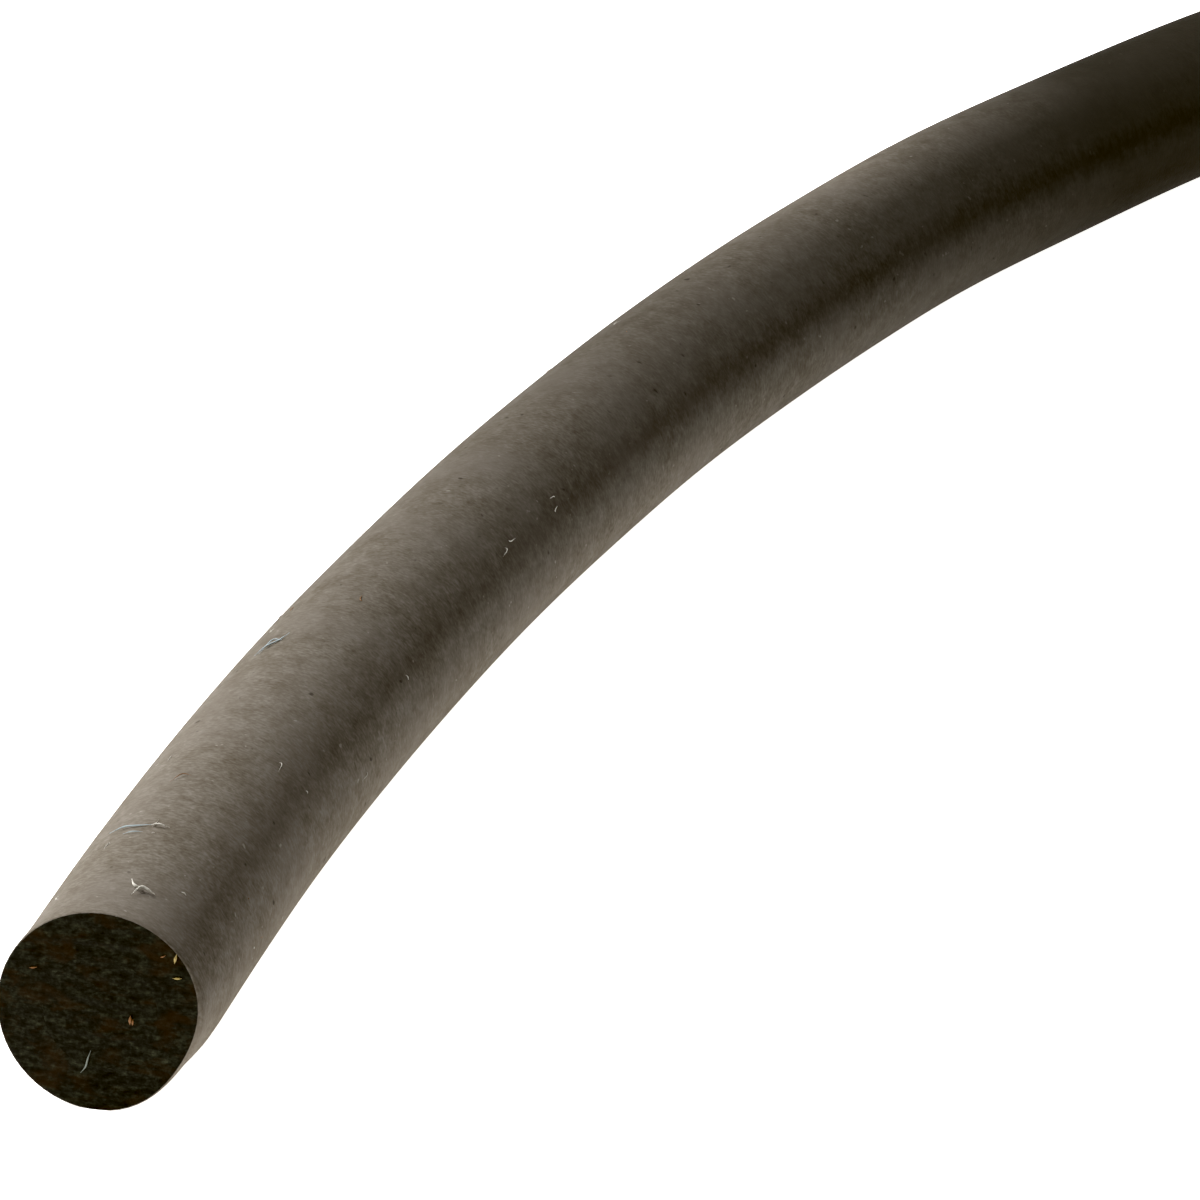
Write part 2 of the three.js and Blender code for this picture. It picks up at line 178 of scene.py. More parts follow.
def wound_turns(step_deg=5):
    """The centre line of the coil's turns, clockwise from above, from its lowest outer turn."""
    steps, total = winding_steps()
    travelled = np.arange(step_deg, total + 1, step_deg, dtype=float)
    column = np.full(len(travelled), COLUMNS - 1.0)
    layer = np.zeros(len(travelled))
    for start, end, d_column, d_layer in steps:
        share = eased((travelled - start) / (end - start))
        column += d_column * share
        layer += d_layer * share
    a = np.radians(travelled)
    radius = COIL_MEAN_RADIUS + (column - (COLUMNS - 1) / 2) * PITCH + SETTLE * np.sin(3.7 * a)
    tail_radius = np.linalg.norm(TAIL_ROUTE[0][:2] - COIL_CENTRE[:2])
    drift = eased((travelled - total - DRIFT_DEG[0]) / (DRIFT_DEG[1] - DRIFT_DEG[0]))
    radius += (tail_radius - radius[-1]) * drift
    height = (layer + 0.5) * PITCH + SETTLE * np.sin(2.3 * a + 1)
    angle = math.pi / 2 - a
    return np.column_stack([
        COIL_CENTRE[0] + radius * np.cos(angle), COIL_CENTRE[1] + radius * np.sin(angle), height,
    ])


FINE_STRETCH = 112 * MM  # the free stretch that is looked at closely
FINE_STEP = 0.45 * MM
COARSE_STEP = 1.6 * MM
SPAN_POINTS = 40  # points on each span of a route's curve
JOIN_RINGS = 6  # rings either side of a join over which the height evens out


def hose_path():
    """The hose's centre line from the dead end to the inlet, with the indices at which its coil
    starts and ends and the number of its finely spaced points."""
    lead = catmull_rom(LEAD_ROUTE, SPAN_POINTS)
    long = lengths(lead)[-1]
    fine = np.arange(0, FINE_STRETCH, FINE_STEP)
    coarse = np.arange(FINE_STRETCH, long, COARSE_STEP)
    lead = resampled(lead, np.concatenate([fine, coarse]))
    turns = wound_turns()
    tail = catmull_rom(TAIL_ROUTE, SPAN_POINTS)
    tail = resampled(tail, np.arange(0, lengths(tail)[-1] + 1e-9, COARSE_STEP))
    tail = np.vstack([tail, TAIL_ROUTE[-1:]])
    first, last = len(lead), len(lead) + len(turns)
    line = np.vstack([lead, turns, tail])
    smooth = line[:, 2].copy()
    for at in (first, last):
        for i in range(at - JOIN_RINGS, at + JOIN_RINGS):
            smooth[i] = line[i - JOIN_RINGS:i + JOIN_RINGS + 1, 2].mean()
    line[:, 2] = smooth
    return line, first, last, len(fine)


# ---- meshes
def make_object(name, vertices, faces, materials, smooth=True, face_materials=None, sharp_deg=42):
    mesh = bpy.data.meshes.new(name)
    mesh.from_pydata([tuple(map(float, v)) for v in vertices], [], faces)
    mesh.update()
    for material in materials:
        mesh.materials.append(material)
    mesh.polygons.foreach_set("use_smooth", [smooth] * len(mesh.polygons))
    if smooth:
        mesh.set_sharp_from_angle(angle=math.radians(sharp_deg))
    if face_materials is not None:
        mesh.polygons.foreach_set("material_index", face_materials)
    piece = bpy.data.objects.new(name, mesh)
    bpy.context.collection.objects.link(piece)
    return piece


def carried_frames(line):
    """Two unit vectors across the line at each of its points, carried along it without twist."""
    tangent = np.gradient(line, axis=0)
    tangent /= np.linalg.norm(tangent, axis=1)[:, None]
    side = np.cross(tangent[0], (0, 0, 1.0))
    side /= np.linalg.norm(side)
    sides = []
    for t in tangent:
        side = side - t * side.dot(t)
        side /= np.linalg.norm(side)
        sides.append(side)
    sides = np.array(sides)
    return tangent, sides, np.cross(sides, tangent)


def ring_faces(a, b, count_a, count_b):
    """Faces between two rings that start at vertices a and b; the second may have half as many."""
    if count_a == count_b:
        return [(a + i, a + (i + 1) % count_a, b + (i + 1) % count_a, b + i) for i in range(count_a)]
    made = []
    for i in range(count_b):
        p, q, r = a + 2 * i, a + 2 * i + 1, a + (2 * i + 2) % count_a
        made += [(p, q, b + i), (q, r, b + (i + 1) % count_b, b + i)]
    return made


def noise_wave(x, seed, waves=5, low=1.0, high=6.0):
    """A smooth repeatable wobble of x, between about -1 and 1."""
    pick = random.Random(seed)
    total = np.zeros_like(x)
    for _ in range(waves):
        total += np.sin(x * pick.uniform(low, high) + pick.uniform(0, 2 * math.pi))
    return total / waves


def set_vectors(piece, name, values):
    attribute = piece.data.attributes.new(name, "FLOAT_VECTOR", "POINT")
    attribute.data.foreach_set("vector", np.asarray(values, dtype=np.float32).ravel())


def rounded_box_clamp(u, v, low_u, high_u, low_v, high_v, corner):
    """(u, v) moved to the nearest point inside a rectangle with round corners."""
    core_u = np.clip(u, low_u + corner, high_u - corner)
    core_v = np.clip(v, low_v + corner, high_v - corner)
    du, dv = u - core_u, v - core_v
    away = np.hypot(du, dv)
    scale = np.where(away > corner, corner / np.maximum(away, 1e-12), 1.0)
    return core_u + du * scale, core_v + dv * scale


def bitten_by_ties(vertices):
    """The coil's vertices pressed in where the ties pull on the bundle."""
    rest = vertices - COIL_CENTRE * (1, 1, 0)
    half = COLUMNS * PITCH / 2
    inset = TIE_THICKNESS
    for degrees in TIE_ANGLES_DEG:
        angle = math.radians(degrees)
        out = np.array([math.cos(angle), math.sin(angle), 0])
        along = np.array([-math.sin(angle), math.cos(angle), 0])
        u, t, v = rest @ out, rest @ along, rest[:, 2]
        fall = np.clip((np.abs(t) - TIE_WIDTH / 2 - 0.4 * MM) / (5 * MM), 0, 1)
        weight = np.where(u > 0, 0.5 + 0.5 * np.cos(math.pi * fall), 0)
        new_u, new_v = rounded_box_clamp(
            u, v, COIL_MEAN_RADIUS - half + inset, COIL_MEAN_RADIUS + half - inset,
            inset, COIL_HEIGHT - inset, TIE_CORNER)
        rest = rest + np.outer((new_u - u) * weight, out)
        rest[:, 2] += (new_v - v) * weight
    return rest + COIL_CENTRE * (1, 1, 0)


FINE_SIDES = 64
COIL_SIDES = 32
PLUG_DEPTH = 11 * MM
SOCKET_DEPTH = 11.5 * MM
EDGE_ROUND = 0.03 * MM
WORN_ANGLE = math.radians(-5)  # round the hose from its right side
WORN_EDGE = 0.14 * MM  # how much more of the rim is worn round on its right side
CUT_LEAN_TOP = math.tan(math.radians(6.5))  # the knife went in leaning back, and a little to one side
CUT_LEAN_SIDE = math.tan(math.radians(2.5))
LEAN_DEPTH = 1.2 * MM  # the hose's first rings follow the lean over this length
DENT = 0.26 * MM  # the end is pressed flatter where it lies towards the floor
DENT_ANGLE = math.radians(-36)
DENT_LENGTH = 1.3 * MM
FLARE = 0.020  # how much the blade spread the end, as a share of the radius
FLARE_LENGTH = 0.9 * MM
RIM_STEPS = 4  # rings on the rounded rim of the cut
FACE_RINGS = 14
PLUG_RINGS = 22
SEAT_STRIDE = 4  # rings of the skin for each ring of the plug's seat


def cut_lean(across, up):
    """How far the cut plane lies behind a square cut at a place on it."""
    return across * CUT_LEAN_SIDE + up * CUT_LEAN_TOP


def cut_relief(across, up):
    """How far the cut end stands out at a place on it: the knife's shallow ridges run sideways."""
    u, v = across / MM, up / MM
    ridges = noise_wave(v * 6 + 0.25 * np.sin(u * 2.1), 3, 5, 1.0, 4.0)
    grain = noise_wave(u * 3 + v * 7, 4, 6, 0.5, 3.0) * noise_wave(v * 9 - u * 2, 5, 6, 0.5, 3.0)
    return (0.030 * ridges + 0.045 * grain) * MM


def make_hose(skin, cut):
    line, coil_first, coil_last, fine_count = hose_path()
    tangent, side, up = carried_frames(line)
    along = lengths(line)
    counts = np.where(np.arange(len(line)) < fine_count, FINE_SIDES, COIL_SIDES)
    vertices, faces, kinds, straight, starts = [], [], [], [], []

    def band(near, far, kind):
        made = ring_faces(near[0], far[0], near[1], far[1])
        faces.extend(made)
        kinds.extend([kind] * len(made))

    def ring(index, radius, shift=0.0, count=None, wobble=True, rounded=None):
        leans = 0 if index > len(line) / 2 else 1
        count = counts[index] if count is None else count
        turn = 2 * math.pi * np.arange(count) / count
        reach = np.zeros(count) + radius
        shifts = np.full(count, shift)
        if rounded is not None:
            edge = EDGE_ROUND + WORN_EDGE * np.clip(np.cos(turn - WORN_ANGLE), 0, 1) ** 6
            reach = reach - edge * (1 - math.sin(rounded))
            shifts = edge * (1 - math.cos(rounded))
        if wobble:
            s = along[index] / MM
            shape = 0.006 * np.cos(2 * turn + 0.11 * s) + 0.003 * np.cos(3 * turn - 0.07 * s)
            flare = FLARE * math.exp(-(along[index] / FLARE_LENGTH) ** 2)
            fades = math.exp(-(along[index] / DENT_LENGTH) ** 2)
            dent = np.clip(np.cos(turn - DENT_ANGLE), 0, 1) ** 6 * fades
            reach = reach - DENT * dent
            reach = reach * (1 + shape + 0.0025 * math.sin(0.35 * s) + flare)
        starts.append(len(vertices))
        for angle, r, push in zip(turn, reach, shifts):
            across, rise = r * math.cos(angle), r * math.sin(angle)
            push = push + cut_lean(across, rise) * max(0, 1 - along[index] / LEAN_DEPTH) * leans
            spot = line[index] + side[index] * across + up[index] * rise
            vertices.append(spot + tangent[index] * push)
            straight.append((across, rise, along[index] + push))
        return starts[-1], count

    # outer skin, from the rounded rim of the cut to the inlet end
    outer = []
    for k in range(RIM_STEPS):
        outer.append(ring(0, HOSE_RADIUS, rounded=math.pi / 2 * k / RIM_STEPS))
    for index in range(1, len(line)):
        outer.append(ring(index, HOSE_RADIUS))
    for near, far in zip(outer, outer[1:]):
        band(near, far, 0)
    skin_vertices = len(vertices)

    # the inlet end: cut ring, then a short bore that takes the barbs
    last = len(line) - 1
    inner = [outer[-1], ring(last, BORE_RADIUS, wobble=False)]
    depth_rings = max(2, int(SOCKET_DEPTH / COARSE_STEP))
    for k in range(1, depth_rings):
        inner.append(ring(last - k, BORE_RADIUS, wobble=False))
    for near, far in zip(inner, inner[1:]):
        band(near, far, 1)
    floor_start, floor_count = inner[-1]
    faces.append([floor_start + i for i in range(floor_count)])
    kinds.append(1)

    # the dead end: rings of the cut face from the rim in to the bore, then the plug's seat
    previous = outer[0]
    rim = np.array([math.hypot(a, b) for a, b, _ in straight[previous[0]:previous[0] + previous[1]]])
    for k in range(1, FACE_RINGS + 1):
        current = ring(0, rim + (BORE_RADIUS - rim) * k / FACE_RINGS, wobble=False)
        for i in range(current[0], len(vertices)):
            across, rise, _ = straight[i]
            vertices[i] = vertices[i] - tangent[0] * cut_relief(np.array(across), np.array(rise))
        band(current, previous, 1)
        previous = current
    seat_index = int(PLUG_DEPTH / FINE_STEP)
    for index in range(SEAT_STRIDE, seat_index, SEAT_STRIDE):
        current = ring(index, BORE_RADIUS, count=FINE_SIDES, wobble=False)
        band(current, previous, 1)
        previous = current
    faces.append([previous[0] + i for i in range(previous[1])][::-1])
    kinds.append(1)

    vertices = np.array(vertices)
    coil_from, coil_to = starts[coil_first + RIM_STEPS - 1], starts[coil_last + RIM_STEPS - 1]
    vertices[coil_from:coil_to] = bitten_by_ties(vertices[coil_from:coil_to])
    vertices[:skin_vertices, 2] = np.maximum(vertices[:skin_vertices, 2], 0)
    piece = make_object("porous_hose", vertices, faces, [skin, cut], face_materials=kinds)
    set_vectors(piece, "hose_at", straight)
    return piece, line


def make_plug(cut, line):
    """The plug that fills the bore at the dead end, cut off flush with the hose."""
    tangent, side, up = carried_frames(line[:60])
    sides = FINE_SIDES
    vertices, faces, straight = [], [], []

    def add_ring(centre, radius, index, proud):
        start = len(vertices)
        for angle in 2 * math.pi * np.arange(sides) / sides:
            across, rise = radius * math.cos(angle), radius * math.sin(angle)
            back = 0.0
            if proud:
                back = cut_lean(across, rise) - cut_relief(np.array(across), np.array(rise))
            vertices.append(centre + side[index] * across + up[index] * rise + tangent[index] * back)
            straight.append((across, rise, 0.0))
        return start

    previous = add_ring(line[0], BORE_RADIUS / PLUG_RINGS, 0, True)
    faces.append([previous + i for i in range(sides)])
    for k in range(2, PLUG_RINGS + 1):
        current = add_ring(line[0], BORE_RADIUS * k / PLUG_RINGS, 0, True)
        faces += ring_faces(current, previous, sides, sides)
        previous = current
    for index in range(SEAT_STRIDE, 6 * SEAT_STRIDE, SEAT_STRIDE):
        current = add_ring(line[index], BORE_RADIUS * 0.98, index, False)
        faces += ring_faces(current, previous, sides, sides)
        previous = current
    faces.append([previous + i for i in range(sides)][::-1])
    piece = make_object("bonded_plug", vertices, faces, [cut])
    set_vectors(piece, "hose_at", straight)
    return piece


# ---- materials
class Look:
    """A principled material and the few node calls that the materials below share."""

    def __init__(self, name, roughness=0.6, metallic=0.0, **sockets):
        self.material = bpy.data.materials.new(name)
        self.material.use_nodes = True
        self.tree = self.material.node_tree
        self.shader = self.tree.nodes["Principled BSDF"]
        self.shader.inputs["Roughness"].default_value = roughness
        self.shader.inputs["Metallic"].default_value = metallic
        for socket, value in sockets.items():
            self.shader.inputs[socket.replace("_", " ")].default_value = value

    def node(self, kind, inputs=None, **settings):
        made = self.tree.nodes.new(kind)
        for key, value in settings.items():
            setattr(made, key, value)
        for key, value in (inputs or {}).items():
            if isinstance(value, bpy.types.NodeSocket):
                self.tree.links.new(value, made.inputs[key])
            else:
                made.inputs[key].default_value = value
        return made

    def place(self, scale=(1, 1, 1), attribute=None, turn=(0, 0, 0)):
        if attribute:
            source = self.node("ShaderNodeAttribute", attribute_name=attribute).outputs["Vector"]
        else:
            source = self.node("ShaderNodeTexCoord").outputs["Object"]
        mapping = self.node("ShaderNodeMapping", {"Vector": source, "Scale": scale, "Rotation": turn})
        return mapping.outputs["Vector"]

    def noise(self, place, scale, detail=3.0, roughness=0.55, distortion=0.0):
        inputs = {
            "Vector": place, "Scale": scale, "Detail": detail, "Roughness": roughness,
            "Distortion": distortion,
        }
        return self.node("ShaderNodeTexNoise", inputs).outputs["Fac"]

    def ramp(self, value, *stops):
        made = self.node("ShaderNodeValToRGB", {"Fac": value})
        elements = made.color_ramp.elements
        while len(elements) < len(stops):
            elements.new(0.5)
        for element, (at, colour) in zip(elements, stops):
            element.position = at
            element.color = (*colour, 1) if len(colour) == 3 else colour
        return made.outputs["Color"]

    def level(self, value, low, high, out_low=0.0, out_high=1.0):
        inputs = {0: value, 1: low, 2: high, 3: out_low, 4: out_high}
        return self.node("ShaderNodeMapRange", inputs).outputs[0]

    def mix(self, share, a, b, blend="MIX"):
        made = self.node("ShaderNodeMix", data_type="RGBA", blend_type=blend)
        for index, value in ((0, share), (6, a), (7, b)):
            if isinstance(value, bpy.types.NodeSocket):
                self.tree.links.new(value, made.inputs[index])
            elif index == 0:
                made.inputs[index].default_value = value
            else:
                made.inputs[index].default_value = (*value, 1)
        return made.outputs[2]

    def math(self, operation, a, b=0.0):
        return self.node("ShaderNodeMath", {0: a, 1: b}, operation=operation).outputs[0]

    def bump(self, height, distance, strength=1.0, normal=None):
        inputs = {"Height": height, "Distance": distance, "Strength": strength}
        if normal is not None:
            inputs["Normal"] = normal
        return self.node("ShaderNodeBump", inputs).outputs["Normal"]

    def feed(self, **sockets):
        for name, value in sockets.items():
            self.tree.links.new(value, self.shader.inputs[name.replace("_", " ")])
        return self.material


# The skin's dust, with painted light and shade laid into its colour: lengths run along the hose from
# the dead end, angles round it from its right side
DUST_AND_SHADE_FROM = 0.012  # where the dust begins to thin and painted falloff shade sets in, and where the dust has worn off and that shade is full
DUST_AND_SHADE_TO = 0.080
LOWER_FROM = 0.22  # the angle at which the lower right side starts, and is reached
LOWER_TO = -0.30
LOWER_DUST_AND_LIGHT_FROM = 0.046  # the same two places on that side, later there as painted floor-bounce light
LOWER_DUST_AND_LIGHT_TO = 0.081
BOUNCE_LIGHT_TINT = (1.50, 1.48, 1.44)  # painted floor-bounce light: how much paler the lower right side is made
BOUNCE_LIGHT_LENGTH = 0.050
BOUNCE_LIGHT_LEFT = 0.15
HIGHLIGHT_AROUND = (1.0, 1.9)  # a painted highlight on top, towards the upper left
HIGHLIGHT_RISE = (0.050, 0.066)
HIGHLIGHT_FALL = (0.068, 0.082)
HIGHLIGHT_SHARE = 0.85
BARE_AND_SHADE_TINT = (0.20, 0.194, 0.168)  # what is left of the dusty colour where it has gone, dimmed further as painted falloff shade
BARE_AND_SHADE_RUBBER = (0.0222, 0.0203, 0.0168)
BARE_AND_SHADE_SHARE = 0.6
LOWER_SHADE_TINT = (0.62, 0.58, 0.50)  # painted shade: the bare rubber is made darker on the lower right side
SHADE_BAND_TINT = (0.16, 0.11, 0.05)  # a painted band of warm shade along the hose
SHADE_BAND_START = 0.66
SHADE_BAND_END = 0.22
SHADE_BAND_LENGTH = 0.11
SHADE_BAND_HALF_WIDTH = 0.27
SHADE_BAND_DEPTH = 0.60
SHADE_BAND_FAINTER = (0.055, 0.095)


def skin_look():
    look = Look("dusty_crumb_rubber", 0.72)
    look.shader.inputs["Specular IOR Level"].default_value = 0.012
    look.shader.inputs["Sheen Weight"].default_value = 0.012
    look.shader.inputs["Sheen Roughness"].default_value = 0.45
    look.shader.inputs["Sheen Tint"].default_value = (1.0, 0.86, 0.72, 1)
    here = look.place(attribute="hose_at")
    streaked = look.place((1, 1, 2.2), attribute="hose_at")

    # crumb rubber under a film of pale dust, with light flecks and open pores
    patches = look.noise(here, 260, 3)
    speckle = look.noise(streaked, 5200, 3, 0.6)
    crumbs = look.noise(here, 1500, 3, 0.6)
    base = look.ramp(
        look.math("ADD", look.math("MULTIPLY", speckle, 0.62), look.math("MULTIPLY", crumbs, 0.38)),
        (0.30, (0.066, 0.052, 0.037)), (0.50, (0.111, 0.097, 0.078)), (0.72, (0.178, 0.161, 0.140)))
    colour = look.mix(look.level(patches, 0.40, 0.70, 0.0, 0.5), base, (0.143, 0.127, 0.110))
    flecks = look.noise(here, 3300, 1, 0.5)
    colour = look.mix(look.level(flecks, 0.755, 0.80, 0.0, 0.6), colour, (0.27, 0.25, 0.22))
    pits = look.noise(look.place(attribute="hose_at", turn=(0.4, 0.9, 0.2)), 2300, 1, 0.5)
    colour = look.mix(look.level(pits, 0.74, 0.80, 0.0, 0.7), colour, (0.018, 0.014, 0.010))

    # painted floor-bounce light: the lower right side is made paler, most near the dead end
    parts = look.node("ShaderNodeSeparateXYZ", {0: here})
    along = parts.outputs["Z"]
    around = look.math("ARCTAN2", parts.outputs["Y"], parts.outputs["X"])
    lower = look.level(around, LOWER_FROM, LOWER_TO)
    # painted floor-bounce light on the lower right side, strongest near the dead end
    bounce_light = look.math("MULTIPLY", lower, look.level(along, 0, BOUNCE_LIGHT_LENGTH, 1, BOUNCE_LIGHT_LEFT))
    colour = look.mix(bounce_light, colour, look.mix(1.0, colour, BOUNCE_LIGHT_TINT, "MULTIPLY"))

    # the dust thins out along the hose, to the even dark of the rubber, and painted shade darkens the
    # far stretch as the key light's falloff; on the lower right side painted floor-bounce light keeps
    # it pale further along, and a painted highlight stays on top
    # painted highlight: a patch on top, towards the upper left, is kept pale
    painted_highlight = look.math("MULTIPLY", look.level(around, *HIGHLIGHT_AROUND), look.level(along, *HIGHLIGHT_RISE))
    painted_highlight = look.math("MULTIPLY", painted_highlight, look.level(along, *HIGHLIGHT_FALL, 1, 0))
    painted_highlight = look.math("MULTIPLY", painted_highlight, HIGHLIGHT_SHARE)
    # painted shade: the far stretch darkens with length from the dead end, together with the dust
    # thinning
    wear_and_shade_above = look.level(along, DUST_AND_SHADE_FROM, DUST_AND_SHADE_TO)
    wear_and_shade_above = look.math("MULTIPLY", wear_and_shade_above, look.math("SUBTRACT", 1.0, painted_highlight))
    # painted floor-bounce light: the lower right side keeps its pale colour further along
    wear_and_shade_below = look.level(along, LOWER_DUST_AND_LIGHT_FROM, LOWER_DUST_AND_LIGHT_TO)
    wear_and_shade = look.mix(lower, wear_and_shade_above, wear_and_shade_below)
    # the bare rubber's colour: worn-off dust and painted falloff shade, dimmer and darker
    bare_and_shaded_rubber = look.mix(BARE_AND_SHADE_SHARE, look.mix(1.0, colour, BARE_AND_SHADE_TINT, "MULTIPLY"), BARE_AND_SHADE_RUBBER)
    # painted shade: the bare rubber is darker on the lower right side
    bare_and_shaded_rubber = look.mix(lower, bare_and_shaded_rubber, look.mix(1.0, bare_and_shaded_rubber, LOWER_SHADE_TINT, "MULTIPLY"))
    # dust wear and painted falloff shade turn the far stretch to the darker colour
    colour = look.mix(wear_and_shade, colour, bare_and_shaded_rubber)

    # a ragged painted band of shade runs along the hose, darker and warmer, faint at the dead end and
    # fading further along
    line = look.level(along, 0, SHADE_BAND_LENGTH, SHADE_BAND_START, SHADE_BAND_END)
    ragged = look.level(look.noise(streaked, 1400, 4, 0.7), 0.3, 0.7, -0.10, 0.10)
    off = look.math("ADD", look.math("ABSOLUTE", look.math("SUBTRACT", around, line)), ragged)
    # painted shade: how deep the band is across the hose
    shade_band = look.level(off, 0.03, SHADE_BAND_HALF_WIDTH, SHADE_BAND_DEPTH, 0)
    shade_band = look.math("MULTIPLY", shade_band, look.level(along, 0.0, DUST_AND_SHADE_TO, 0.32, 1))
    shade_band = look.math("MULTIPLY", shade_band, look.level(along, *SHADE_BAND_FAINTER, 1, 0.35))
    shade_band = look.math("MULTIPLY", shade_band, look.level(along, SHADE_BAND_LENGTH, 2 * SHADE_BAND_LENGTH, 1, 0))
    # the painted shade band darkens and warms the colour
    colour = look.mix(shade_band, colour, look.mix(1.0, colour, SHADE_BAND_TINT, "MULTIPLY"))

    rough = look.level(speckle, 0.3, 0.7, 0.62, 0.86)
    fine = look.bump(speckle, 0.03 * MM, 0.55)
    coarse = look.bump(crumbs, 0.05 * MM, 0.35, fine)
    return look.feed(Base_Color=colour, Roughness=rough, Normal=coarse)


def cut_look():
    look = Look("knife_cut_rubber", 0.6)
    look.shader.inputs["Specular IOR Level"].default_value = 0.03
    across = look.place((0.36, 1, 1), attribute="hose_at")
    here = look.place(attribute="hose_at")
    streaks = look.noise(across, 6000, 4, 0.66, 0.3)
    specks = look.noise(here, 6500, 3, 0.6)
    fibres = look.math("ADD", look.math("MULTIPLY", streaks, 0.6), look.math("MULTIPLY", specks, 0.4))
    mottle = look.noise(look.place((0.5, 1, 1), attribute="hose_at"), 1500, 4, 0.6, 0.5)
    base = look.ramp(
        fibres, (0.36, (0.0070, 0.0062, 0.0048)), (0.50, (0.0118, 0.0112, 0.0088)),
        (0.60, (0.0225, 0.0226, 0.0150)), (0.72, (0.048, 0.049, 0.031)))
    brown = look.mix(look.level(mottle, 0.50, 0.64, 0.0, 0.6), base, (0.022, 0.0130, 0.0078))
    rough = look.level(mottle, 0.3, 0.7, 0.55, 0.8)
    normal = look.bump(fibres, 0.05 * MM, 0.4)
    return look.feed(Base_Color=brown, Roughness=rough, Normal=normal)


def moulded_look(name, colour, dark, roughness, scale=900, depth=0.02):
    look = Look(name, roughness)
    here = look.place()
    grain = look.noise(here, scale, 4, 0.6)
    cloud = look.noise(here, 60, 3)
    tone = look.ramp(cloud, (0.3, dark), (0.7, colour))
    rough = look.level(grain, 0.3, 0.7, roughness - 0.08, roughness + 0.1)
    return look.feed(Base_Color=tone, Roughness=rough, Normal=look.bump(grain, depth * MM, 0.5))


def metal_look(name, colour, dark, roughness, turned=False):
    look = Look(name, roughness, 1.0)
    here = look.place((1, 14, 1) if turned else (1, 1, 1))
    marks = look.noise(here, 700, 4, 0.6)
    cloud = look.noise(look.place(), 90, 4)
    tone = look.ramp(cloud, (0.32, dark), (0.62, colour))
    rough = look.level(marks, 0.3, 0.7, roughness - 0.07, roughness + 0.12)
    return look.feed(Base_Color=tone, Roughness=rough, Normal=look.bump(marks, 0.006 * MM, 0.5))


SKIN = skin_look()
CUT = cut_look()
hose, hose_line = make_hose(SKIN, CUT)
plug = make_plug(CUT, hose_line)
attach(hose, "hose")
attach(plug, "hose")
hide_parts("hose_lead", "hose_coil", "hose_tail")
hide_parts("dead_end_plug")
[tuple(p) for p in hose_line[::-1]]


# ---- the hose's small marks
def on_skin(line, along_mm, around_deg, lift_mm):
    """A place just above the hose's skin, so far along it and so far round it."""
    tangent, side, up = carried_frames(line)
    index = int(np.searchsorted(lengths(line), along_mm * MM))
    angle = math.radians(around_deg)
    out = side[index] * math.cos(angle) + up[index] * math.sin(angle)
    return line[index] + out * (HOSE_RADIUS + lift_mm * MM)


def on_cut(line, across_mm, up_mm, lift_mm):
    """A place just in front of the cut face."""
    tangent, side, up = carried_frames(line)
    across, rise = across_mm * MM, up_mm * MM
    back = cut_lean(across, rise) - lift_mm * MM
    return line[0] + side[0] * across + up[0] * rise + tangent[0] * back


def swept(points, radii, sides=6):
    """Vertices and faces of a round bar through the points, capped at both ends."""
    tangent, side, up = carried_frames(points)
    vertices, faces = [], []
    for index, radius in enumerate(radii):
        for angle in 2 * math.pi * np.arange(sides) / sides:
            out = side[index] * math.cos(angle) + up[index] * math.sin(angle)
            vertices.append(points[index] + radius * out)
    for index in range(len(points) - 1):
        faces += ring_faces(index * sides, (index + 1) * sides, sides, sides)
    faces.append(list(range(sides))[::-1])
    faces.append([(len(points) - 1) * sides + i for i in range(sides)])
    return vertices, faces


def fibre(points, radius):
    """A thin bar with slim ends on a smooth curve through the points."""
    points = catmull_rom(np.array(points), 5)
    count = len(points)
    ends = [min(index, count - 1 - index) for index in range(count)]
    return swept(points, [radius * max(0.25, min(1.0, 3 * end / count)) for end in ends])


# Stray fibres: places (mm along, degrees round, mm off the skin), radius and which look
SKIN_FIBRES = [
    ([(6.05, 122, 0.04), (6.2, 112, 0.09), (6.12, 103, 0.05), (6.08, 95, 0.07)], 0.024, 1),
    ([(6.10, 97, 0.05), (6.05, 91, 0.10), (6.25, 85, 0.04)], 0.026, 0),
    ([(5.60, 110, 0.04), (5.75, 104, 0.07), (5.70, 98, 0.04)], 0.016, 1),
    ([(2.25, 86, 0.05), (2.10, 82, 0.12), (1.85, 79, 0.08), (1.95, 76, 0.10)], 0.044, 0),
    ([(1.70, 81, 0.05), (1.90, 78, 0.14), (2.15, 74, 0.10), (2.05, 70, 0.04)], 0.042, 0),
    ([(19.3, 118, 0.04), (19.6, 113, 0.10), (20.1, 108, 0.06), (20.5, 104, 0.10)], 0.026, 1),
    ([(19.2, 115, 0.04), (19.9, 111, 0.12), (19.8, 106, 0.05)], 0.020, 1),
    ([(9.4, 104, 0.03), (9.7, 99, 0.08), (9.6, 94, 0.03)], 0.014, 3),
]
CUT_HAIR = [(-0.28, -1.24, 0.05), (-0.36, -1.5, 0.10), (-0.44, -1.78, 0.07), (-0.60, -2.00, 0.04)]
# Coloured crumbs in the cut face: centre and half length (mm), radius, and which look
CRUMBS = [
    ((2.34, 1.98), (0.03, 0.15), 0.045, 2),
    ((2.40, 1.36), (0.14, 0.01), 0.032, 2),
    ((0.94, -0.14), (0.01, 0.14), 0.046, 3),
    ((1.02, -0.20), (0.01, 0.10), 0.030, 3),
    ((1.95, 2.02), (0.08, 0.04), 0.020, 3),
    ((-2.1, 1.25), (0.12, 0.02), 0.020, 3),
]
LOOSE_SPECKS = 26


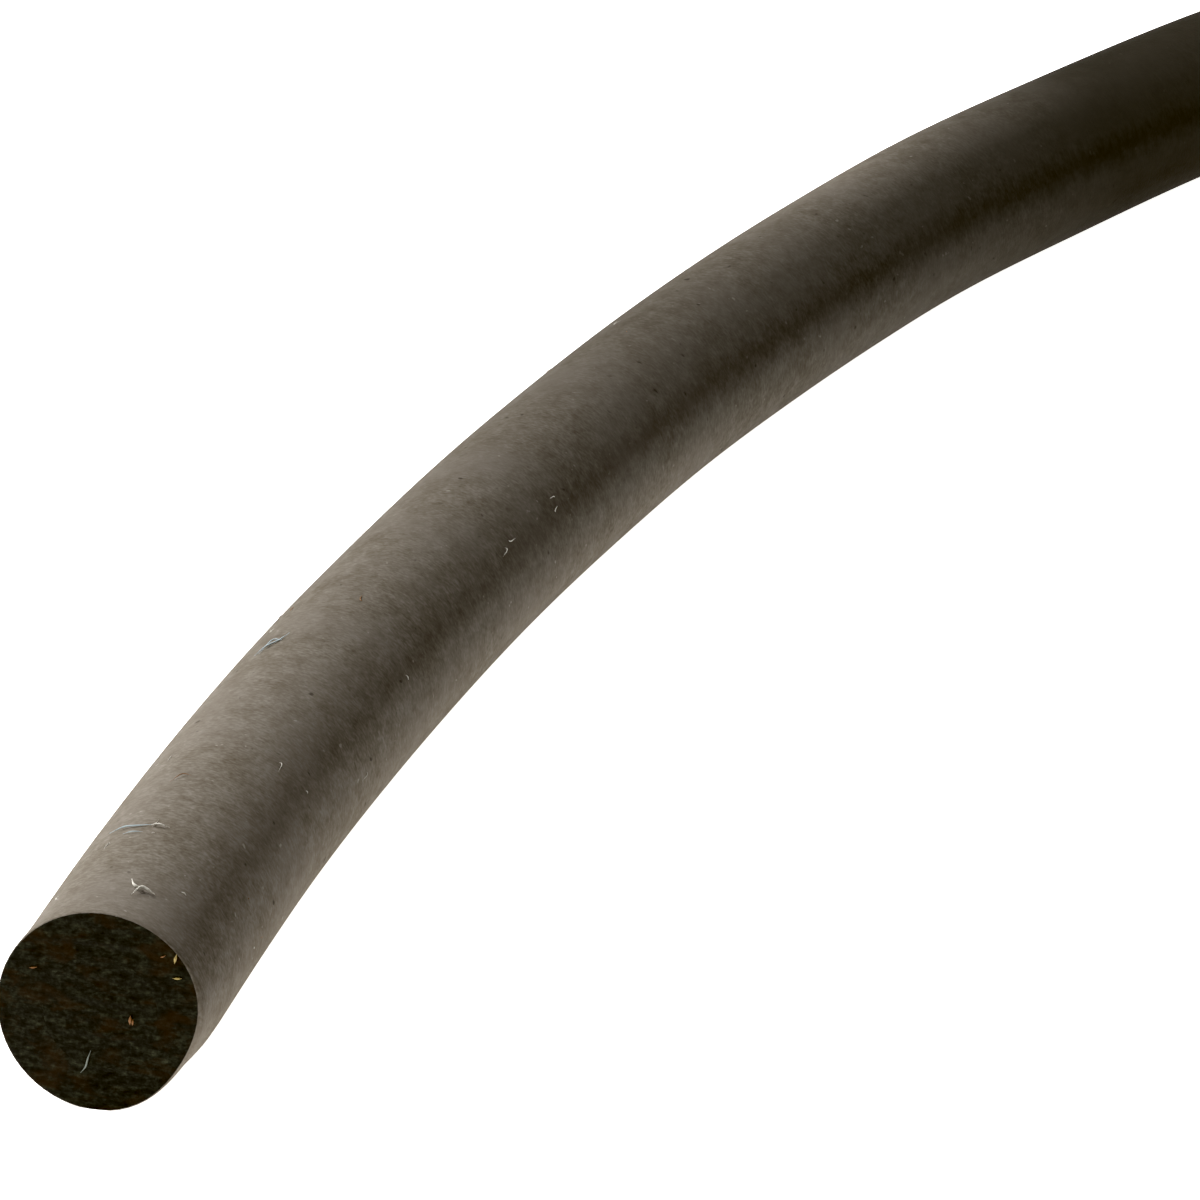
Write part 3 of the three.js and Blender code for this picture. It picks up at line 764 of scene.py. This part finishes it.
def make_lint(line, looks):
    """Stray fibres on the skin, a hair on the cut face and the coloured crumbs in it."""
    line = line[:120]
    tubes = []  # points, radius in mm, material
    for strand, radius, look in SKIN_FIBRES:
        tubes.append(([on_skin(line, *spot) for spot in strand], radius, look))
    tubes.append(([on_cut(line, *spot) for spot in CUT_HAIR], 0.026, 4))
    for centre, half, radius, look in CRUMBS:
        ends = [
            (centre[0] - half[0], centre[1] - half[1], 0.02), (centre[0], centre[1], 0.035),
            (centre[0] + half[0], centre[1] + half[1], 0.02),
        ]
        tubes.append(([on_cut(line, *spot) for spot in ends], radius, look))
    pick = random.Random(11)
    for _ in range(LOOSE_SPECKS):
        along, around = pick.uniform(2, 50), pick.uniform(-10, 150)
        turn, reach = pick.uniform(-4, 4), pick.uniform(0.1, 0.45)
        ends = [
            (along, around, 0.0), (along + reach / 2, around + turn / 2, 0.03),
            (along + reach, around + turn, 0.0),
        ]
        radius, look = pick.uniform(0.010, 0.018), pick.choice((0, 0, 3))
        tubes.append(([on_skin(line, *spot) for spot in ends], radius, look))
    vertices, faces, kinds = [], [], []
    for points, radius, look in tubes:
        made, made_faces = fibre(points, radius * MM)
        faces += [[i + len(vertices) for i in face] for face in made_faces]
        kinds += [look] * len(made_faces)
        vertices += made
    return make_object("lint_and_crumbs", vertices, faces, looks, face_materials=kinds)


# ---- shared shapes of the small parts
def closed_up(piece):
    """Turns the faces of a closed piece outwards."""
    shape = bmesh.new()
    shape.from_mesh(piece.data)
    bmesh.ops.recalc_face_normals(shape, faces=shape.faces)
    shape.to_mesh(piece.data)
    shape.free()
    return piece


def lofted(name, rings, material, loop=True, sharp_deg=42):
    """A closed surface through rings of equally many points; a loft that isn't a loop is capped."""
    count = len(rings[0])
    faces = []
    pairs = len(rings) if loop else len(rings) - 1
    for index in range(pairs):
        after = (index + 1) % len(rings)
        faces += ring_faces(index * count, after * count, count, count)
    if not loop:
        faces.append(list(range(count))[::-1])
        faces.append([(len(rings) - 1) * count + i for i in range(count)])
    return closed_up(make_object(name, np.vstack(rings), faces, [material], sharp_deg=sharp_deg))


def filleted(corners, radius, steps=4, loop=True):
    """A polyline with each of its corners rounded."""
    corners = np.array(corners, dtype=float)
    made = []
    for index, corner in enumerate(corners):
        if not loop and index in (0, len(corners) - 1):
            made.append(corner)
            continue
        before = corners[index - 1] - corner
        after = corners[(index + 1) % len(corners)] - corner
        reach_a, reach_b = np.linalg.norm(before), np.linalg.norm(after)
        cut = min(radius, 0.45 * reach_a, 0.45 * reach_b)
        start, end = corner + before / reach_a * cut, corner + after / reach_b * cut
        for share in np.linspace(0, 1, steps + 1):
            made.append((1 - share) ** 2 * start + 2 * share * (1 - share) * corner + share ** 2 * end)
    return np.array(made)


def at_fitting(x, y, z):
    """World places of points given along the inlet fitting's own axis, in metres."""
    return np.column_stack([FITTING_ORIGIN[0] + x, FITTING_ORIGIN[1] - z, FITTING_ORIGIN[2] + y])


def lathe(name, profile, material, sides=96, rounding=0.15):
    """A body of revolution on the fitting's axis from a closed (radius, height) outline in mm."""
    turn = 2 * math.pi * np.arange(sides) / sides
    rings = []
    for radius, height in filleted(profile, rounding) * MM:
        rings.append(at_fitting(radius * np.cos(turn), radius * np.sin(turn), np.full(sides, height)))
    return lofted(name, rings, material)


def strap_section(width, thickness, corner, steps=3):
    """The outline of a flat strap, as (across, out) pairs."""
    half, bounce_light = width / 2, thickness / 2
    box = [(-half, -bounce_light), (half, -bounce_light), (half, bounce_light), (-half, bounce_light)]
    return filleted(box, corner, steps)


def strap_rings(path, section, place):
    """Rings of a strap's section carried round a closed flat path."""
    ahead = np.roll(path, -1, axis=0) - np.roll(path, 1, axis=0)
    ahead /= np.linalg.norm(ahead, axis=1)[:, None]
    out = np.column_stack([ahead[:, 1], -ahead[:, 0]])
    rings = []
    for spot, normal in zip(path, out):
        flat = spot + np.outer(section[:, 1], normal)
        rings.append(place(flat[:, 0], flat[:, 1], section[:, 0]))
    return rings


# ---- cable ties
TIE_HEAD_HEIGHT = 7.4 * MM
TIE_HEAD_DEPTH = 4.4 * MM
TIE_HEAD_WIDTH = 6.8 * MM
TIE_TAIL_LENGTH = 9 * MM
TIE_TAIL_LIFT = 1.6 * MM
TOOTH_PITCH = 0.9 * MM
TOOTH_DEPTH = 0.28 * MM


def make_tie(number, degrees, material):
    angle = math.radians(degrees)
    out = np.array([math.cos(angle), math.sin(angle), 0])
    along = np.array([-math.sin(angle), math.cos(angle), 0])
    origin = COIL_CENTRE * (1, 1, 0)

    def place(u, v, w):
        return origin + np.outer(u, out) + np.outer(w, along) + np.outer(v, (0, 0, 1))

    half = COLUMNS * PITCH / 2 - TIE_THICKNESS / 2
    middle = COIL_HEIGHT / 2
    left, right = COIL_MEAN_RADIUS - half, COIL_MEAN_RADIUS + half
    low, high = TIE_THICKNESS / 2, COIL_HEIGHT - TIE_THICKNESS / 2
    corners = [(left, low), (right, low), (right, high), (left, high)]
    path = filleted(corners, 1.7 * (TIE_CORNER + TIE_THICKNESS / 2), 10)
    section = strap_section(TIE_WIDTH, TIE_THICKNESS, 0.3 * MM)
    parts = [lofted("strap", strap_rings(path, section, place), material)]

    # the head: a block with a slot through it for the strap's loose end
    back = right + TIE_THICKNESS / 2 - 0.1 * MM
    centre = back + TIE_HEAD_DEPTH / 2
    bottom, top = middle - TIE_HEAD_HEIGHT / 2, middle + TIE_HEAD_HEIGHT / 2
    slot = (0.95 * MM, TIE_WIDTH / 2 + 0.2 * MM)
    body = (TIE_HEAD_DEPTH / 2, TIE_HEAD_WIDTH / 2)
    ease = 0.45 * MM
    rings = []
    levels = [
        (slot, bottom + ease, 0.25), ((slot[0] + ease, slot[1] + ease), bottom, 0.4),
        ((body[0] - ease, body[1] - ease), bottom, 0.7), (body, bottom + ease, 0.9),
        (body, top - ease, 0.9), ((body[0] - ease, body[1] - ease), top, 0.7),
        ((slot[0] + ease, slot[1] + ease), top, 0.4), (slot, top - ease, 0.25),
    ]
    for (half_u, half_w), level, corner in levels:
        box = [(-half_u, -half_w), (half_u, -half_w), (half_u, half_w), (-half_u, half_w)]
        flat = filleted(box, corner * MM, 4)
        rings.append(place(centre + flat[:, 0], np.full(len(flat), level), flat[:, 1]))
    parts.append(lofted("head", rings, material))

    # the loose end: it comes through the slot, teeth inwards, and leans away
    teeth = []
    long = TIE_HEAD_HEIGHT + TIE_TAIL_LENGTH
    for step in range(int(long / TOOTH_PITCH)):
        for share, depth in ((0.0, 0.0), (0.75, 1.0), (0.95, 0.0)):
            teeth.append(((step + share) * TOOTH_PITCH, depth * TOOTH_DEPTH))
    rings = []
    for far, depth in teeth:
        lean = TIE_TAIL_LIFT * max(0.0, (far - TIE_HEAD_HEIGHT) / TIE_TAIL_LENGTH) ** 1.5
        narrow = 1 - 0.45 * max(0.0, (far - long + 2.2 * MM) / (2.2 * MM)) ** 1.5
        piece = strap_section(TIE_WIDTH * 0.96 * narrow, TIE_THICKNESS, 0.25 * MM)
        inner = piece[:, 1] < 0
        toothed = inner & (np.abs(piece[:, 0]) < TIE_WIDTH * 0.36 * narrow)
        shaped = piece[:, 1] + np.where(toothed, depth, 0)
        rings.append(place(centre + lean + shaped, np.full(len(piece), bottom + far), piece[:, 0]))
    parts.append(lofted("loose_end", rings, material, loop=False))

    # the pawl that holds the teeth
    rings = []
    for level, bounce_light in ((top - 3.4 * MM, 0.25), (top - 1.8 * MM, 0.55), (top - 1.0 * MM, 0.3)):
        flat = strap_section(TIE_WIDTH * 0.6, bounce_light * MM, 0.08 * MM)
        offset = centre - slot[0] + bounce_light * MM / 2
        rings.append(place(offset + flat[:, 1], np.full(len(flat), level), flat[:, 0]))
    parts.append(lofted("pawl", rings, material, loop=False))
    return joined(f"cable_tie_{number}", parts)


def joined(name, parts):
    """One object from several closed ones."""
    with bpy.context.temp_override(active_object=parts[0], selected_editable_objects=parts):
        bpy.ops.object.join()
    parts[0].name = name
    return parts[0]


# ---- inlet fitting
NUT_LENGTH, NUT_RIB, NUT_VALLEY, NUT_RIBS = 19, 15.9, 15.0, 18
NUT_WALL, NUT_NECK, THREAD_MAJOR, THREAD_MINOR = 2.6, 6.8, 13.5, 12.35
THREAD_PITCH, THREAD_START, THREAD_TURNS = 2.209, 9.0, 4
NUT_SIDES = 216


def rib_height(turn, crowd=1.0):
    """How far each direction round the nut lies up the side of a rib, from 0 to 1."""
    share = (turn / (2 * math.pi) * NUT_RIBS - 0.25) % 1.0
    away = np.abs(share - 0.5) * 2  # 0 between the ribs, 1 on a rib
    x = np.clip((away - 0.32) / 0.36, 0, 1)
    return crowd * x * x * (3 - 2 * x)


def thread_lift(turn, height):
    """How far the thread's ridge stands in from the nut's inner wall, in mm."""
    travelled = (height - THREAD_START) / THREAD_PITCH
    whole = travelled - turn / (2 * math.pi)
    near = np.abs(whole - np.round(whole)) * THREAD_PITCH
    turns = np.round(whole) + turn / (2 * math.pi)
    fade = np.clip(np.minimum(turns, THREAD_TURNS - turns) * 3, 0, 1)
    return np.clip((0.95 - near) / 0.62, 0, 1) * (THREAD_MAJOR - THREAD_MINOR) * fade


def make_nut(material):
    turn = 2 * math.pi * np.arange(NUT_SIDES) / NUT_SIDES
    rings = []

    def add(radius, height):
        rings.append(at_fitting(
            radius * MM * np.cos(turn), radius * MM * np.sin(turn), np.full(NUT_SIDES, height * MM)))

    for angle in np.linspace(0, math.pi / 2, 5):  # neck hole's rounded edge, then the back face
        add(np.full(NUT_SIDES, NUT_NECK + 0.4 * (1 - math.cos(angle))), 0.4 * (1 - math.sin(angle)))
    add(np.full(NUT_SIDES, 9.0), 0.0)
    add(np.full(NUT_SIDES, 9.3), 0.25)
    add(np.full(NUT_SIDES, 12.6), 0.25)
    add(np.full(NUT_SIDES, 12.9), 0.0)
    round_edge = 1.0
    for angle in np.linspace(0, math.pi / 2, 7):
        wall = NUT_VALLEY - round_edge * (1 - math.sin(angle))
        height = round_edge * (1 - math.cos(angle))
        add(wall + rib_height(turn, 0.9 * math.sin(angle) ** 2) * (NUT_RIB - NUT_VALLEY), height)
    for height in np.linspace(1.4, NUT_LENGTH - 3.4, 12):
        add(NUT_VALLEY + rib_height(turn) * (NUT_RIB - NUT_VALLEY), height)
    for share in np.linspace(0.15, 1, 6):  # the ribs run out into a plain collar at the mouth
        fade = math.cos(share * math.pi / 2)
        add(NUT_VALLEY + 0.45 * (1 - fade) + rib_height(turn, fade) * (NUT_RIB - NUT_VALLEY),
            NUT_LENGTH - 3.4 + share * 1.2)
    for angle in np.linspace(0, math.pi / 2, 5):
        add(np.full(NUT_SIDES, NUT_VALLEY + 0.45 - 0.7 * (1 - math.cos(angle))),
            NUT_LENGTH - 0.7 + 0.7 * math.sin(angle))
    add(np.full(NUT_SIDES, THREAD_MAJOR + 0.8), NUT_LENGTH)
    add(np.full(NUT_SIDES, THREAD_MAJOR + 0.15), NUT_LENGTH - 0.7)
    top = NUT_LENGTH - 1.2
    for height in np.arange(top, THREAD_START - 1.6, -0.16):
        add(THREAD_MAJOR - thread_lift(turn, height), height)
    for height in np.linspace(THREAD_START - 2, NUT_WALL + 0.5, 6):
        add(np.full(NUT_SIDES, THREAD_MAJOR), height)
    for angle in np.linspace(0, math.pi / 2, 4):
        wall = THREAD_MAJOR - 0.5 * (1 - math.cos(angle))
        add(np.full(NUT_SIDES, wall), NUT_WALL + 0.5 * (1 - math.sin(angle)))
    add(np.full(NUT_SIDES, NUT_NECK + 0.2), NUT_WALL)
    add(np.full(NUT_SIDES, NUT_NECK), NUT_WALL - 0.2)
    return lofted("ribbed_nut", rings, material, sharp_deg=50)


def make_tailpiece(material):
    tip, pitch = -16.0, 3.2
    outline = [(0.85, tip), (1.25, tip)]
    for barb in range(3):
        start = tip + barb * pitch
        outline += [(1.62, start + 0.75 * pitch), (1.35, start + 0.78 * pitch)]
    outline += [
        (1.45, -5.0), (3.5, -5.0), (6.4, -3.0), (6.4, 2.9), (11.8, 2.9), (11.8, 4.9), (4.5, 4.9),
        (0.85, 3.5),
    ]
    return lathe("turned_tailpiece", outline, material, 96, 0.12)


def make_washer(material):
    outline = [
        (7.5, 5.2), (11.8, 5.2), (11.8, 8.2), (10.2, 8.2),
        (9.9, 8.05), (9.4, 8.05), (9.1, 8.2), (7.5, 8.2),
    ]
    return lathe("moulded_washer", outline, material, 96, 0.25)


def make_disc(material):
    outline = [(0.75, 5.2), (7.1, 5.2), (7.1, 6.2), (3.0, 6.2), (2.8, 6.0), (1.6, 6.0), (0.75, 5.6)]
    return lathe("orifice_disc", outline, material, 72, 0.12)


SCREEN_RADIUS, SCREEN_BASE, SCREEN_RISE = 6.3, 6.75, 0.62
WIRE_PITCH, WIRE_RADIUS = 0.62, 0.11


def make_screen(material):
    """A dome of plain-woven wire crimped into a flat rim."""
    vertices, faces = [], []
    count = int(SCREEN_RADIUS / WIRE_PITCH)
    for across in (False, True):
        for row in range(-count, count + 1):
            fixed = row * WIRE_PITCH
            half = math.sqrt(max(SCREEN_RADIUS ** 2 - fixed ** 2, 0.01))
            places = np.linspace(-half, half, max(7, int(half / WIRE_PITCH * 4)))
            wave = np.cos(math.pi * places / WIRE_PITCH) * (-1) ** (row + int(across)) * WIRE_RADIUS
            dome = SCREEN_RISE * (1 - (places ** 2 + fixed ** 2) / SCREEN_RADIUS ** 2)
            height = SCREEN_BASE + dome + wave
            still = np.full(len(places), fixed)
            x, y = (still, places) if across else (places, still)
            line = at_fitting(x * MM, y * MM, height * MM)
            made, made_faces = swept(line, [WIRE_RADIUS * 0.92 * MM] * len(line))
            faces += [[i + len(vertices) for i in face] for face in made_faces]
            vertices += made
    wires = closed_up(make_object("wires", vertices, faces, [material]))
    rim = lathe("rim", [(6.0, 6.55), (7.1, 6.55), (7.1, 6.98), (6.0, 6.98)], material, 72, 0.15)
    return joined("woven_screen", [rim, wires])


CLAMP_INNER, CLAMP_THICKNESS, CLAMP_WIDTH = 3.5, 0.6, 5.5
CLAMP_BACK = -8.3  # the clamp's edge nearest the nut, along the fitting's axis
EAR_WIDTH, EAR_HEIGHT = 3.4, 2.0


def make_clamp(material):
    radius = CLAMP_INNER + CLAMP_THICKNESS / 2
    reach = math.asin(EAR_WIDTH / 2 / radius)
    turn = np.linspace(math.pi / 2 + reach, math.pi / 2 - reach + 2 * math.pi, 60)
    band = np.column_stack([radius * np.cos(turn), radius * np.sin(turn)])
    top = radius + EAR_HEIGHT - 0.05
    half = EAR_WIDTH / 2
    ear = np.array([
        band[-1], (half * 0.62, radius + 0.55), (half * 0.95, top - 0.55), (half * 0.5, top),
        (0, top - 0.22),
        (-half * 0.5, top), (-half * 0.95, top - 0.55), (-half * 0.62, radius + 0.55), band[0],
    ])
    flat = np.column_stack([ear, np.zeros(len(ear))])
    ear = catmull_rom(flat, 6)[1:-1, :2]
    path = np.vstack([band, ear]) * MM
    middle = (CLAMP_BACK - CLAMP_WIDTH / 2) * MM

    def place(u, v, w):
        return at_fitting(u, v, middle + w)

    section = strap_section(CLAMP_WIDTH * MM, CLAMP_THICKNESS * MM, 0.16 * MM)
    return lofted("ear_clamp", strap_rings(path, section, place), material)


def settle(piece, slot, *nodes):
    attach(piece, "nut" if slot == "nut_nylon" else "hose")
    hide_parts(*nodes)


LINT_LOOKS = [
    moulded_look("pale_lint", (0.62, 0.60, 0.54), (0.42, 0.40, 0.35), 0.7),
    moulded_look("blue_lint", (0.40, 0.47, 0.50), (0.24, 0.30, 0.32), 0.7),
    moulded_look("yellow_crumb", (0.34, 0.25, 0.07), (0.20, 0.14, 0.04), 0.6),
    moulded_look("orange_crumb", (0.22, 0.090, 0.018), (0.12, 0.050, 0.012), 0.6),
    moulded_look("grey_hair", (0.17, 0.19, 0.16), (0.10, 0.11, 0.09), 0.7),
]
lint = make_lint(hose_line, LINT_LOOKS)
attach(lint, "hose")

NYLON = moulded_look("natural_nylon", (0.72, 0.69, 0.58), (0.60, 0.57, 0.46), 0.38, 1400, 0.012)
for number, degrees in enumerate(TIE_ANGLES_DEG, 1):
    settle(make_tie(number, degrees, NYLON), "tie_nylon", f"coil_tie_{number}")
nut = moulded_look("black_nylon", (0.030, 0.031, 0.033), (0.018, 0.018, 0.020), 0.42, 1100, 0.03)
settle(make_nut(nut), "nut_nylon", "swivel_nut")
brass = metal_look("turned_brass", (0.72, 0.50, 0.20), (0.50, 0.33, 0.12), 0.28, True)
settle(make_tailpiece(brass), "tail_brass", "barb_tailpiece")
rubber = moulded_look("washer_rubber", (0.030, 0.028, 0.026), (0.016, 0.015, 0.014), 0.6, 800, 0.03)
settle(make_washer(rubber), "seal_rubber", "inlet_washer")
acetal = moulded_look("white_acetal", (0.72, 0.70, 0.64), (0.62, 0.60, 0.53), 0.35, 1500, 0.01)
settle(make_disc(acetal), "disc_acetal", "flow_disc")
wire = metal_look("screen_wire", (0.60, 0.61, 0.62), (0.40, 0.40, 0.41), 0.3)
settle(make_screen(wire), "screen_steel", "filter_screen")
steel = metal_look("clamp_steel", (0.62, 0.62, 0.62), (0.45, 0.45, 0.46), 0.26, True)
settle(make_clamp(steel), "clamp_steel", "pinch_clamp")


# ---- floor and light
def make_floor():
    look = Look("pale_floor", 0.9)
    look.shader.inputs["Base Color"].default_value = (0.86, 0.86, 0.86, 1)
    look.shader.inputs["Emission Color"].default_value = (1.0, 0.985, 0.95, 1)
    look.shader.inputs["Emission Strength"].default_value = 1.09
    size = 3.0
    floor = make_object(
        "floor", [(-size, -size, 0), (size, -size, 0), (size, size, 0), (-size, size, 0)],
        [(0, 1, 2, 3)], [look.material], smooth=False)


def aimed_lamp(name, data, watts, place, target):
    data.energy = watts
    lamp = bpy.data.objects.new(name, data)
    bpy.context.collection.objects.link(lamp)
    lamp.location = place
    aim = Vector(target) - Vector(place)
    lamp.rotation_euler = aim.to_track_quat("-Z", "Y").to_euler()
    return lamp


def area_light(name, place, target, size, watts):
    data = bpy.data.lights.new(name, "AREA")
    data.shape = "DISK"
    data.size = size
    aimed_lamp(name, data, watts, place, target).visible_camera = False


def spot_light(name, place, target, cone_deg, watts):
    data = bpy.data.lights.new(name, "SPOT")
    data.spot_size = math.radians(cone_deg)
    data.spot_blend = 0.5
    data.shadow_soft_size = 0.06
    aimed_lamp(name, data, watts, place, target)


def make_world():
    """A faint warm light from all round."""
    world = bpy.data.worlds.new("studio")
    world.use_nodes = True
    sky = world.node_tree.nodes["Background"]
    sky.inputs["Color"].default_value = (1.0, 0.80, 0.52, 1)
    sky.inputs["Strength"].default_value = 0.07
    bpy.context.scene.world = world


make_floor()
make_world()
near_end = tuple(LEAD_ROUTE[0])
spot_light("coil_lamp", (0.10, -0.16, 0.60), (0.042, 0.0, 0.0), 16, 30.0)
spot_light("coil_side_lamp", (0.20, 0.30, 0.27), (0.046, 0.0, 0.012), 18, 11.0)
area_light("key", (-0.175, -0.004, 0.107), near_end, 0.11, 0.56)
BLACK_LEVEL = (0.009, 0.0095, 0.011)


def grade_picture():
    """A plain transform with the blacks set just above zero, as a cut-out product picture has."""
    view = bpy.context.scene.view_settings
    view.view_transform = "Standard"
    view.use_curve_mapping = True
    view.curve_mapping.black_level = BLACK_LEVEL
    view.curve_mapping.update()


grade_picture()
